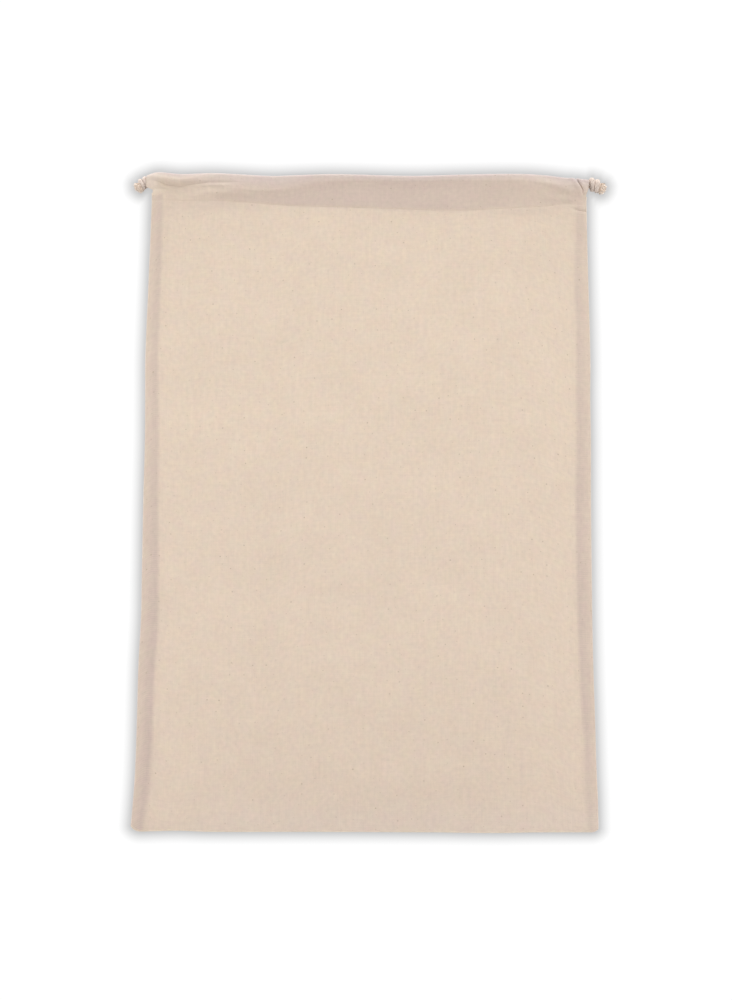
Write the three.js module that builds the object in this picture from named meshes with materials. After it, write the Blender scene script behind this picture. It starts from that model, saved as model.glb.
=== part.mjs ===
// Cotton gift bag with two drawcords, lying on its back with a little air in it.
// One length of cloth is turned in at both ends to make the cord casings, folded in half at the bottom
// and sewn up both sides. Millimetres, +Z up, mouth towards +Y, resting on Z = 0.
import * as THREE from "three";

// Driving dimensions of the cloth
const BAG_WIDTH = 300; // between the side seams
const BAG_LENGTH = 450; // from the bottom fold to the top edge
const CLOTH = 1; // thickness of the sheet
const LAYER_GAP = 0.4; // between two layers that lie together
const SEAM_ALLOWANCE = 9; // turned in along each side; the hems stop there, and the cords come out
const SEAM_ROUND = 0.5; // how far the sewn edge rounds off, above and below
const SEAM_STOP = 3; // the seam ends this far below the casing
const HEM_TURN = 3; // the hem's edge lies this far below its stitch line
const BOTTOM_FOLD_R = 1.2; // middle of the cloth, at the bottom fold
const MOUTH_GAP = 5.2; // between the two casings, at the middle of the mouth
const BACK_DROP = 1.5; // the back's top edge lies this far below the front's

// Driving dimensions of the cords
const CORD = 2.6; // diameter
const CORD_CLEARANCE = 0.4; // round a cord in its casing
const CORD_SIDES = 8;
const KNOT_TURNS = 1.75; // turns of one cord end round the other
const KNOT_PITCH = 2.75; // along the knot, for each turn
const KNOT_HEIGHT = 5.4; // the knot's axis above the floor
const KNOT_EASE = 0.7; // how far along the knot the wound end runs in, and out again
const TAIL = 0.5; // cord beyond the knot, up to its frayed end
const TAIL_APART = 14; // degrees that each end leans away from the other
const FRAY_LENGTH = 4.2;
const FRAY_LOCKS = 6; // round the middle lock, on each cord end
const FRAY_SPREAD = 0.4; // sideways for each millimetre out

// The sides of the bag: how far each stands from the middle line, up the bag
const SIDE_ROWS = [
  { y: -225, left: 149.8, right: 149.6 },
  { y: -200, left: 149.0, right: 149.9 },
  { y: -150, left: 147.9, right: 149.5 },
  { y: -100, left: 148.1, right: 148.4 },
  { y: 0, left: 148.6, right: 148.8 },
  { y: 105, left: 150.4, right: 150.5 },
  { y: 225, left: 149.7, right: 149.6 },
];

// The top edge: how far it stands above its level, and how deep the casing shows below it
const TOP_ROWS = [
  { x: -150, rise: 0.2, casing: 19.5 },
  { x: -143, rise: 1.2, casing: 20.5 },
  { x: -127, rise: -0.1, casing: 19.5 },
  { x: -104, rise: 0.8, casing: 20.0 },
  { x: -66, rise: -1.2, casing: 20.5 },
  { x: -24, rise: 0.6, casing: 24.5 },
  { x: 30, rise: -0.5, casing: 25.0 },
  { x: 64, rise: 0.4, casing: 25.5 },
  { x: 104, rise: 1.5, casing: 24.5 },
  { x: 120, rise: 0.8, casing: 23.0 },
  { x: 134, rise: -1.3, casing: 20.0 },
  { x: 150, rise: -2.0, casing: 19.5 },
];

// The air in the bag: height of the front panel at its side edge and down its middle, from the bottom
// fold (share 0) to the casing's stitch line (share 1)
const LOFT_ROWS = [
  { share: 0.0, edge: 2.9, middle: 2.9 },
  { share: 0.07, edge: 2.7, middle: 5.6 },
  { share: 0.25, edge: 2.6, middle: 10.6 },
  { share: 0.55, edge: 2.6, middle: 12.6 },
  { share: 0.88, edge: 3.0, middle: 13.6 },
  { share: 1.0, edge: 4.7, middle: 14.0 },
];

// Soft swells and hollows of the front panel
const SWELLS = [
  { x: -85, y: 75, reachX: 60, reachY: 30, height: -0.6 },
  { x: 30, y: 90, reachX: 75, reachY: 30, height: 0.5 },
  { x: 62, y: 25, reachX: 50, reachY: 30, height: -0.6 },
  { x: -20, y: -80, reachX: 70, reachY: 35, height: -0.5 },
  { x: 85, y: -120, reachX: 45, reachY: 35, height: 0.5 },
];

// Folds of the casing near its ends, each a ridge between two points of the front, below the top edge
const CASING_FOLDS = [
  { x0: -150, below0: 3.5, x1: -92, below1: 3.6, reach: 2.6, height: 0.9 },
  { x0: -146, below0: 9.5, x1: -100, below1: 9.0, reach: 2.4, height: -0.6 },
  { x0: 116, below0: 2.5, x1: 139, below1: 8.5, reach: 3.0, height: 0.9 },
  { x0: 143, below0: 1.0, x1: 150, below1: 13.0, reach: 1.8, height: 1.3 },
];

// The two knots: where the cord ends meet, from the bag's corner, and which way they point
const KNOTS = {
  left: { side: -1, away: 2.9, below: 4.8, turnedDown: 33 },
  right: { side: 1, away: 2.9, below: 4.6, turnedDown: 17 },
};

// Values that follow from the sizes above
const HALF_WIDTH = BAG_WIDTH / 2;
const HALF_LENGTH = BAG_LENGTH / 2;
const FLOOR_LAYER = CLOTH / 2; // middle of the cloth that lies on the floor
const CORD_R = CORD / 2;
const ROLL_R = CORD_R + CORD_CLEARANCE + CLOTH / 2; // middle of the cloth round a cord
const LAYERS_R = (CLOTH + LAYER_GAP) / 2; // the same, where two layers lie together
const LANE_NEAR = CLOTH + CORD_CLEARANCE + CORD_R; // of the cord nearest the top edge, below that edge
const LANE_FAR = LANE_NEAR + CORD + 1.5 * CORD_CLEARANCE;
const ROLL_END = LANE_FAR + CORD_R; // below this the casing's layers close
const ROLL_FADE = 3.6; // over this depth
const BACK_ROLL = 2 * (ROLL_R + CLOTH / 2); // height of the back casing
const FRONT_ROLL_Z = BACK_ROLL + LAYER_GAP + CLOTH / 2 + ROLL_R; // middle of the front casing, at its ends
const BACK_ROLL_Z = FLOOR_LAYER + ROLL_R;
const HELIX_R = CORD + 0.15; // middle of a cord end that is wound round the other
const SEAM_X = HALF_WIDTH - SEAM_ALLOWANCE; // inner edge of the allowance

// Smooth steps and tables
const clamp01 = (value) => Math.min(1, Math.max(0, value));
const smooth = (value) => clamp01(value) ** 2 * (3 - 2 * clamp01(value));
const mix = (a, b, share) => a + (b - a) * share;
const range = (count) => Array.from({ length: count }, (_, index) => index);

function fromRows(rows, key, at, column) {
  const next = rows.findIndex((row) => row[key] >= at);
  if (next === 0) return rows[0][column];
  if (next < 0) return rows[rows.length - 1][column];
  const a = rows[next - 1];
  const b = rows[next];
  return mix(a[column], b[column], smooth((at - a[key]) / (b[key] - a[key])));
}

const sideShare = (x) => Math.abs(x) / HALF_WIDTH;
const topEdge = (x) => HALF_LENGTH + fromRows(TOP_ROWS, "x", x, "rise");
const casingDepth = (x) => fromRows(TOP_ROWS, "x", x, "casing");
const halfWidth = (x, y) => fromRows(SIDE_ROWS, "y", y, x < 0 ? "left" : "right");
const edgeRound = (x) => SEAM_ROUND * smooth((Math.abs(x) - (HALF_WIDTH - 2)) / 2);

// A point of the cloth: x is its place across an even width, and follows the sides of the bag
const clothPoint = (x, y, z) => new THREE.Vector3((x * halfWidth(x, y)) / HALF_WIDTH, y, z);

// The bottom fold lifts a little into each rounded corner
const CORNER_R = 5;
function foldLine(x) {
  const into = clamp01((Math.abs(x) - (HALF_WIDTH - CORNER_R)) / CORNER_R);
  const lift = 0.6 * CORNER_R * (1 - Math.sqrt(1 - into * into));
  return -HALF_LENGTH + CLOTH / 2 + BOTTOM_FOLD_R + lift;
}

// Height of the middle of the front panel's cloth
function panelHeight(x, share) {
  const edge = fromRows(LOFT_ROWS, "share", share, "edge") - edgeRound(x);
  const middle = fromRows(LOFT_ROWS, "share", share, "middle");
  const y = mix(foldLine(x), topEdge(x) - casingDepth(x), share);
  let swell = 0;
  for (const s of SWELLS) {
    swell += s.height * Math.exp(-(((x - s.x) / s.reachX) ** 2) - ((y - s.y) / s.reachY) ** 2);
  }
  return mix(middle, edge, sideShare(x) ** 3) + swell;
}

// Height of a casing fold's ridge at a point of the front casing
function foldHeight(x, below) {
  let height = 0;
  for (const f of CASING_FOLDS) {
    const along = new THREE.Vector2(f.x1 - f.x0, f.below1 - f.below0);
    const from = new THREE.Vector2(x - f.x0, below - f.below0);
    const share = clamp01(from.dot(along) / along.lengthSq());
    const off = from.addScaledVector(along, -share).length();
    height += f.height * Math.exp(-((off / f.reach) ** 2));
  }
  return height;
}

// Half the distance between the two layers of a casing, by the depth below the top edge
const layersApart = (below) => mix(ROLL_R, LAYERS_R, smooth((below - ROLL_END) / ROLL_FADE));

// Middle of the front casing: it rests on the back one at its ends and stands open in between
const frontRollHeight = (x) => FRONT_ROLL_Z + MOUTH_GAP * (1 - sideShare(x) ** 4);
function frontCasingHeight(x, below) {
  const stitched = panelHeight(x, 1) - LAYERS_R;
  const depth = (below - ROLL_END) / (casingDepth(x) - ROLL_END);
  return mix(frontRollHeight(x), stitched, smooth(depth));
}

// Depths below the top edge at which a casing's flat stretch is drawn, from the cords to a last depth
const casingSteps = (last) => [
  LANE_NEAR,
  ROLL_END,
  ROLL_END + ROLL_FADE / 2,
  ROLL_END + ROLL_FADE,
  mix(ROLL_END + ROLL_FADE, last, 0.5),
  last,
];

// A half turn of cloth about a point, from one angle to another, without its two ends
const TURN_ROWS = 5;
const halfTurn = (y, z, radius, from, to) =>
  range(TURN_ROWS).map((i) => {
    const angle = mix(from, to, (i + 1) / (TURN_ROWS + 1));
    return { y: y + radius * Math.cos(angle), z: z + radius * Math.sin(angle) };
  });

// The two panels are drawn at the same heights up the bag, closer together towards both ends
const PANEL_ROWS = 16;
const panelShares = (length) =>
  range(PANEL_ROWS).map((i) => {
    const even = 1 - i / (PANEL_ROWS - 1);
    const eased = (1 - Math.cos(Math.PI * even)) / 2;
    return (1 - SEAM_STOP / length) * mix(even, eased, 0.5);
  });

// The cloth's middle line across the bag's length, from the front hem over the bag to the back hem
const CASING_ROWS = casingSteps(0).length;
const BACK_CASING_ROWS = 3;
const FRONT_EDGE_ROW = CASING_ROWS + (TURN_ROWS - 1) / 2; // the top edge, where the front hem stops short
const SEAM_ROW = 2 * CASING_ROWS + TURN_ROWS; // upper end of the side seams
const FOLD_ROW = SEAM_ROW + PANEL_ROWS + (TURN_ROWS - 1) / 2; // the bottom fold
const mirrorRow = (row) => 2 * FOLD_ROW - row; // the back's row that lies under a row of the front
const BACK_EDGE_ROW = mirrorRow(SEAM_ROW) + BACK_CASING_ROWS; // where the back hem stops short
function clothLine(x) {
  const top = topEdge(x);
  const casing = casingDepth(x);
  const fold = foldLine(x);
  const backTop = top - BACK_DROP;
  const floor = FLOOR_LAYER + edgeRound(x);
  const up = Math.PI / 2;
  const frontHem = casingSteps(casing + HEM_TURN)
    .reverse()
    .map((below) => ({ y: top - below, z: frontCasingHeight(x, below) - layersApart(below) }));
  const frontTurn = halfTurn(top - LANE_NEAR, frontRollHeight(x), ROLL_R, -up, up);
  const frontCasing = casingSteps(casing).map((below) => ({
    y: top - below,
    z: frontCasingHeight(x, below) + layersApart(below) + foldHeight(x, below),
  }));
  const panel = panelShares(top - casing - fold).map((share) => ({
    y: mix(fold, top - casing, share),
    z: panelHeight(x, share),
  }));
  const foldR = (panelHeight(x, 0) - floor) / 2;
  const bottomTurn = halfTurn(fold, floor + foldR, foldR, up, 3 * up);
  const back = [...panel].reverse().map((point) => ({ y: point.y, z: floor }));
  const backCasing = range(BACK_CASING_ROWS).map((i) => ({
    y: mix(panel[0].y, backTop - LANE_NEAR, (i + 1) / BACK_CASING_ROWS),
    z: FLOOR_LAYER,
  }));
  const backTurn = halfTurn(backTop - LANE_NEAR, BACK_ROLL_Z, ROLL_R, -up, up);
  const backHem = casingSteps(casing + HEM_TURN).map((below) => ({
    y: backTop - below,
    z: FLOOR_LAYER + 2 * layersApart(below),
  }));
  return [frontHem, frontTurn, frontCasing, panel, bottomTurn, back, backCasing, backTurn, backHem].flat();
}

// The cloth's section at one place across the bag: its middle line, thickened to both faces
function clothSection(x) {
  const line = clothLine(x);
  return line.map((point, i) => {
    const before = line[Math.max(i - 1, 0)];
    const after = line[Math.min(i + 1, line.length - 1)];
    const along = new THREE.Vector2(after.y - before.y, after.z - before.z).setLength(CLOTH / 2);
    return {
      outer: clothPoint(x, point.y + along.y, point.z - along.x),
      inner: clothPoint(x, point.y - along.y, point.z + along.x),
    };
  });
}

// A closed surface is collected as points and as faces that turn one way round
function newSurface() {
  const points = [];
  const faces = [];
  return {
    points,
    faces,
    add: (point) => points.push(point) - 1,
    face: (...corners) => {
      for (const i of range(corners.length - 2)) faces.push([corners[0], corners[i + 1], corners[i + 2]]);
    },
  };
}

// Places across the bag at which its section is drawn, closer together towards the sides
const MIDDLE_STEPS = 20;
const SIDE_STEPS = 4;
const sidePlaces = range(SIDE_STEPS + 1).map(
  (i) => SEAM_X + SEAM_ALLOWANCE * Math.sin((i * Math.PI) / 2 / SIDE_STEPS),
);
const ACROSS = [
  ...sidePlaces.map((x) => -x).reverse(),
  ...range(MIDDLE_STEPS - 1).map((i) => {
    const even = (2 * (i + 1)) / MIDDLE_STEPS - 1;
    return SEAM_X * mix(even, Math.sin((even * Math.PI) / 2), 0.6);
  }),
  ...sidePlaces,
];
const LAST_PLACE = ACROSS.length - 1;

// The cloth as cells between neighbouring places and rows. The hems stop short of the sides, and in the
// seams the two panels and the allowances between them are sewn into one.
function bagCloth() {
  const sections = ACROSS.map(clothSection);
  const rows = sections[0].length;
  const surface = newSurface();
  const known = new Map();
  const at = (k, i, face) => {
    const key = [k, i, face].join();
    if (!known.has(key)) known.set(key, surface.add(sections[k][i][face]));
    return known.get(key);
  };
  const inSide = (k) => k < SIDE_STEPS || k >= LAST_PLACE - SIDE_STEPS;
  const present = (k, i) => {
    if (k < 0 || k >= LAST_PLACE || i < 0 || i >= rows - 1) return false;
    return !inSide(k) || (i >= FRONT_EDGE_ROW && i < BACK_EDGE_ROW);
  };
  const sewn = (k, i) => inSide(k) && i >= SEAM_ROW && i < mirrorRow(SEAM_ROW);
  for (const k of range(LAST_PLACE)) {
    for (const i of range(rows - 1).filter((row) => present(k, row))) {
      const corners = [
        { k, i, beyond: [k - 1, i] },
        { k, i: i + 1, beyond: [k, i + 1] },
        { k: k + 1, i: i + 1, beyond: [k + 1, i] },
        { k: k + 1, i, beyond: [k, i - 1] },
      ];
      surface.face(...corners.map((c) => at(c.k, c.i, "outer")));
      if (sewn(k, i)) continue;
      surface.face(...corners.map((c) => at(c.k, c.i, "inner")).reverse());
      corners.forEach((c, n) => {
        if (present(...c.beyond)) return;
        const d = corners[(n + 1) % 4];
        const outer = [d, c].map((p) => at(p.k, p.i, "outer"));
        const inner = [c, d].map((p) => at(p.k, p.i, "inner"));
        surface.face(...outer, ...inner);
      });
    }
  }
  sideSeam(surface, at, LAST_PLACE, -1);
  sideSeam(surface, at, 0, 1);
  return surface;
}

// A side seam's own faces: the sewn edge, the allowances' inner edge and its upper end
function sideSeam(surface, at, edge, inward) {
  const inner = edge + inward * SIDE_STEPS;
  const close = (...corners) => surface.face(...(inward > 0 ? corners : corners.reverse()));
  for (const front of range(FOLD_ROW - SEAM_ROW).map((i) => SEAM_ROW + i)) {
    const back = mirrorRow(front);
    const upper = front === SEAM_ROW ? [at(edge, front, "inner"), at(edge, back, "inner")] : [];
    const turned = front + 1 === FOLD_ROW;
    const outerBelow = turned ? [] : [at(edge, back - 1, "outer")];
    const innerBelow = turned ? [] : [at(inner, back - 1, "inner")];
    const outerCorners = [at(edge, front, "outer"), ...upper, at(edge, back, "outer"), ...outerBelow];
    const innerCorners = [at(inner, front + 1, "inner"), ...innerBelow, at(inner, back, "inner")];
    close(at(edge, front + 1, "outer"), ...outerCorners);
    close(at(inner, front, "inner"), ...innerCorners);
  }
  for (const i of range(SIDE_STEPS)) {
    const k = edge + inward * i;
    const places = [
      [k, SEAM_ROW],
      [k + inward, SEAM_ROW],
      [k + inward, mirrorRow(SEAM_ROW)],
      [k, mirrorRow(SEAM_ROW)],
    ];
    close(...places.map(([place, row]) => at(place, row, "inner")));
  }
}

// A knot's own frame: its start beside the bag's corner, its axis, and two directions across it
function knotFrame(knot) {
  const edge = knot.side * HALF_WIDTH;
  const down = THREE.MathUtils.degToRad(knot.turnedDown);
  const axis = new THREE.Vector3(knot.side * Math.cos(down), -Math.sin(down), 0);
  const start = new THREE.Vector3(
    knot.side * (halfWidth(edge, HALF_LENGTH) + knot.away),
    topEdge(edge) - knot.below,
    KNOT_HEIGHT,
  );
  const up = new THREE.Vector3(0, 0, 1);
  const across = new THREE.Vector3().crossVectors(up, axis).multiplyScalar(knot.side);
  return { start, axis, up, across };
}

const onKnot = (frame, along, across, up) =>
  frame.start
    .clone()
    .addScaledVector(frame.axis, along)
    .addScaledVector(frame.across, across)
    .addScaledVector(frame.up, up);

const throughPoints = (points, steps) =>
  new THREE.CatmullRomCurve3(points, false, "centripetal").getSpacedPoints(steps);

// A drawcord: from its first end through the knot, along the front casing, round the far corner, back
// along the back casing, and wound round itself to its second end
const KNOT_LENGTH = KNOT_TURNS * KNOT_PITCH;
const KNOT_END = KNOT_LENGTH + CORD_R;
const WOUND_STEPS = 30;
const CORE_STEPS = 12;
const BEND_STEPS = 8;
function cordRoute(knot) {
  const frame = knotFrame(knot);
  const below = knot.side < 0 ? LANE_NEAR : LANE_FAR;
  const lane = (x, front) => {
    const y = topEdge(x) - below - (front ? 0 : BACK_DROP);
    return clothPoint(x, y, front ? frontRollHeight(x) : BACK_ROLL_Z);
  };
  const inCasing = ACROSS.filter((x) => knot.side * x <= HALF_WIDTH - SEAM_ALLOWANCE / 2)
    .filter((x) => -knot.side * x <= SEAM_X)
    .sort((a, b) => knot.side * (b - a));
  const frontLane = inCasing.map((x) => lane(x, true));
  const backLane = inCasing.map((x) => lane(x, false)).reverse();
  const frontEnd = frontLane[frontLane.length - 1];
  const middle = frontEnd.clone().add(backLane[0]).multiplyScalar(0.5);
  const bend = range(BEND_STEPS - 1).map((i) => {
    const angle = (Math.PI * (i + 1)) / BEND_STEPS;
    const point = middle.clone().lerp(frontEnd, Math.cos(angle));
    point.x -= knot.side * frontEnd.distanceTo(middle) * Math.sin(angle);
    return point;
  });
  const lean = Math.tan(THREE.MathUtils.degToRad(TAIL_APART));
  const tailAt = (out, across, towards) => onKnot(frame, KNOT_END + out, across + towards * lean * out, 0);
  const core = throughPoints(
    [
      tailAt(TAIL, 0, 1),
      tailAt(0, 0, 1),
      onKnot(frame, KNOT_LENGTH / 2, 0, 0),
      onKnot(frame, 0, 0, 0),
      onKnot(frame, -2.4, 0, 1.5),
      frontLane[0],
    ],
    CORE_STEPS,
  );
  const wound = range(Math.round(KNOT_TURNS * 12) + 1).map((i) => {
    const turn = i / 12;
    const easeIn = 1 - smooth(turn / 0.4);
    const easeOut = smooth((turn - KNOT_TURNS) / 0.4 + 1);
    const angle = 2 * Math.PI * turn - Math.PI / 2;
    const along = turn * KNOT_PITCH + KNOT_EASE * (easeOut - easeIn);
    return onKnot(frame, along, HELIX_R * Math.cos(angle), HELIX_R * Math.sin(angle));
  });
  const windOn = throughPoints(
    [backLane[backLane.length - 1], ...wound, tailAt(TAIL, -HELIX_R - 0.2, -1)],
    WOUND_STEPS,
  );
  return [...core.slice(0, -1), ...frontLane, ...bend, ...backLane, ...windOn.slice(1)];
}

// Directions at each point of a route, turned about it as little as possible
function routeFrames(route) {
  let normal = new THREE.Vector3(0, 0, 1);
  return route.map((centre, i) => {
    const before = route[Math.max(i - 1, 0)];
    const after = route[Math.min(i + 1, route.length - 1)];
    const tangent = after.clone().sub(before).normalize();
    normal = normal.clone().addScaledVector(tangent, -normal.dot(tangent)).normalize();
    return { centre, tangent, normal, other: tangent.clone().cross(normal) };
  });
}

const onFrame = (frame, u, v) =>
  frame.centre.clone().addScaledVector(frame.normal, u).addScaledVector(frame.other, v);

const polygon = (count, radius, u = 0, v = 0, turn = 0) =>
  range(count).map((k) => {
    const angle = (2 * Math.PI * k) / count + turn;
    return new THREE.Vector2(u + radius * Math.cos(angle), v + radius * Math.sin(angle));
  });

function joinRings(surface, from, to) {
  from.forEach((a, i) => {
    const next = (i + 1) % from.length;
    surface.face(a, from[next], to[next], to[i]);
  });
}

// The frayed end of a cord: locks of yarn leave the cord's end face and spread apart
const LOCK_R = 0.3;
const LOCK_RING = 0.62 * CORD_R; // the outer locks leave at this radius
const LOCK_TURN = 0.75; // of each lock's four sides, about itself
const LOCK_UNEVEN = 0.22; // share of its length by which a lock may be shorter
function frayedEnd(surface, frame, rimIds) {
  const rim = polygon(CORD_SIDES, CORD_R);
  const locks = range(FRAY_LOCKS + 1).map((i) => {
    const angle = (2 * Math.PI * (i + 0.3)) / FRAY_LOCKS;
    const radius = i < FRAY_LOCKS ? LOCK_RING : 0;
    const reach = FRAY_LENGTH * (1 - LOCK_UNEVEN * Math.sin(1.9 * i) ** 2);
    return { u: radius * Math.cos(angle), v: radius * Math.sin(angle), reach };
  });
  const roots = locks.map((lock) => polygon(4, LOCK_R, lock.u, lock.v, LOCK_TURN));
  const rootIds = roots.map((root) => root.map((p) => surface.add(onFrame(frame, p.x, p.y))));
  const flat = [rim, ...roots].flat();
  const ids = [rimIds, ...rootIds].flat();
  for (const [a, b, c] of THREE.ShapeUtils.triangulateShape(rim, roots)) {
    const turned = THREE.ShapeUtils.area([flat[a], flat[b], flat[c]]) < 0;
    surface.face(...(turned ? [ids[c], ids[b], ids[a]] : [ids[a], ids[b], ids[c]]));
  }
  locks.forEach((lock, n) => {
    const spread = (out) => 1 + (FRAY_SPREAD * out * (1 + 0.25 * Math.sin(2.1 * n))) / LOCK_RING;
    const outward = (u, v, out) => surface.add(onFrame(frame, u, v).addScaledVector(frame.tangent, out));
    const half = lock.reach / 2;
    const ring = polygon(4, 1.1 * LOCK_R, lock.u * spread(half), lock.v * spread(half), LOCK_TURN);
    const ringIds = ring.map((p) => outward(p.x, p.y, half));
    const tip = outward(lock.u * spread(lock.reach), lock.v * spread(lock.reach), lock.reach);
    joinRings(surface, rootIds[n], ringIds);
    ringIds.forEach((a, i) => surface.face(a, ringIds[(i + 1) % 4], tip));
  });
}

function drawcord(knot) {
  const surface = newSurface();
  const frames = routeFrames(cordRoute(knot));
  const rings = frames.map((frame) =>
    polygon(CORD_SIDES, CORD_R).map((p) => surface.add(onFrame(frame, p.x, p.y))),
  );
  for (const i of range(rings.length - 1)) joinRings(surface, rings[i], rings[i + 1]);
  const { centre, normal, tangent, other } = frames[0];
  const outwards = { centre, normal, tangent: tangent.clone().negate(), other: other.clone().negate() };
  frayedEnd(surface, outwards, [rings[0][0], ...rings[0].slice(1).reverse()]);
  frayedEnd(surface, frames[frames.length - 1], rings[rings.length - 1]);
  return surface;
}

// Scene graph
function meshFrom(name, surface, material) {
  const geometry = new THREE.BufferGeometry().setFromPoints(surface.points);
  geometry.setIndex(surface.faces.flat());
  geometry.computeVertexNormals();
  const mesh = new THREE.Mesh(geometry, material);
  mesh.name = name;
  return mesh;
}

const cotton = new THREE.MeshStandardMaterial({ color: 0xe2d0bc, roughness: 0.95, metalness: 0 });
const cordCotton = new THREE.MeshStandardMaterial({ color: 0xe6d3bb, roughness: 0.9, metalness: 0 });

const bag = new THREE.Group();
bag.add(meshFrom("bag_cloth", bagCloth(), cotton));
bag.add(meshFrom("drawcord_left", drawcord(KNOTS.left), cordCotton));
bag.add(meshFrom("drawcord_right", drawcord(KNOTS.right), cordCotton));

// The origin is under the middle of the whole bag, on the floor
const box = new THREE.Box3().setFromObject(bag);
const centre = box.getCenter(new THREE.Vector3());
bag.position.set(-centre.x, -centre.y, -box.min.z);

export default bag;
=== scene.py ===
import bpy
from math import copysign, cos, exp, hypot, inf, pi, radians, sin, sqrt, tan
from mathutils import Matrix, Vector, noise


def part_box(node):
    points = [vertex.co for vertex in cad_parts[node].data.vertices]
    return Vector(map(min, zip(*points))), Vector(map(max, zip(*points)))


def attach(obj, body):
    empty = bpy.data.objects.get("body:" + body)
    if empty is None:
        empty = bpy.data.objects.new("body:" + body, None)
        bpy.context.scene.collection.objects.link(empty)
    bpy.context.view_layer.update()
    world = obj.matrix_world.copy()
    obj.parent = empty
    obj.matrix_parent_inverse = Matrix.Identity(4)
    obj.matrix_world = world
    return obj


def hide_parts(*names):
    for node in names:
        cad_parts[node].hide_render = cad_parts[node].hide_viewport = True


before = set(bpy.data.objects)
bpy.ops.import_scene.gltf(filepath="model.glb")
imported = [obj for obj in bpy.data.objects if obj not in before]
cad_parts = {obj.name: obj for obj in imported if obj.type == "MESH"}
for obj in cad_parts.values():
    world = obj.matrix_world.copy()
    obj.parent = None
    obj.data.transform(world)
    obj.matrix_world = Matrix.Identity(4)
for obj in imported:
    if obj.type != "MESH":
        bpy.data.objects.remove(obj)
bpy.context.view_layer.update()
mm = 0.001


class Values(dict):  # a dictionary, also read as values.name
    __getattr__ = dict.__getitem__


bagLow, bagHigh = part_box("bag_cloth")

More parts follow.
